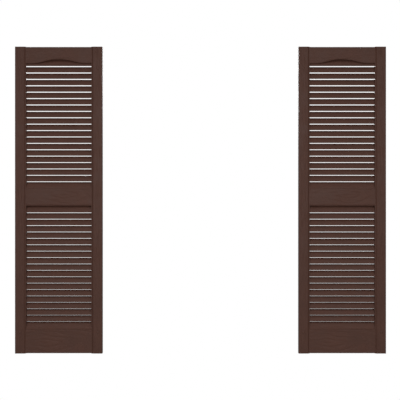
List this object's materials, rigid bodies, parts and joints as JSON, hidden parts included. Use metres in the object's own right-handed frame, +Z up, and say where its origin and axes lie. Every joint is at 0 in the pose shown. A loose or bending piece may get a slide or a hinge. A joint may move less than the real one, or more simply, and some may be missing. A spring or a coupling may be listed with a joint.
{
  "type": "louvred shutters",
  "caption": "Matching moulded exterior louvred shutters with arched top rails, middle rails, fixed open louvres and hollow ribbed backs, fixed flat to a wall beside a window by push-in spikes.",
  "frame": {"origin": "middle of the pair on the wall plane: half-way between the shutters and half-way up them", "axes": "+Z up, -Y out of the wall towards someone who faces the shutters, +X to that person's right"},
  "size_m": [1.5656, 0.078, 1.2954],
  "materials": {
    "shutter_moulding": "brown through the moulding, low sheen, shallow embossed wood grain",
    "spike_moulding": "brown, smooth, low sheen"
  },
  "bodies": {
    "root": {"left_shutter": "shutter_moulding", "right_shutter": "shutter_moulding", "left_fixing_spikes": "spike_moulding", "right_fixing_spikes": "spike_moulding"}
  },
  "joints": []
}
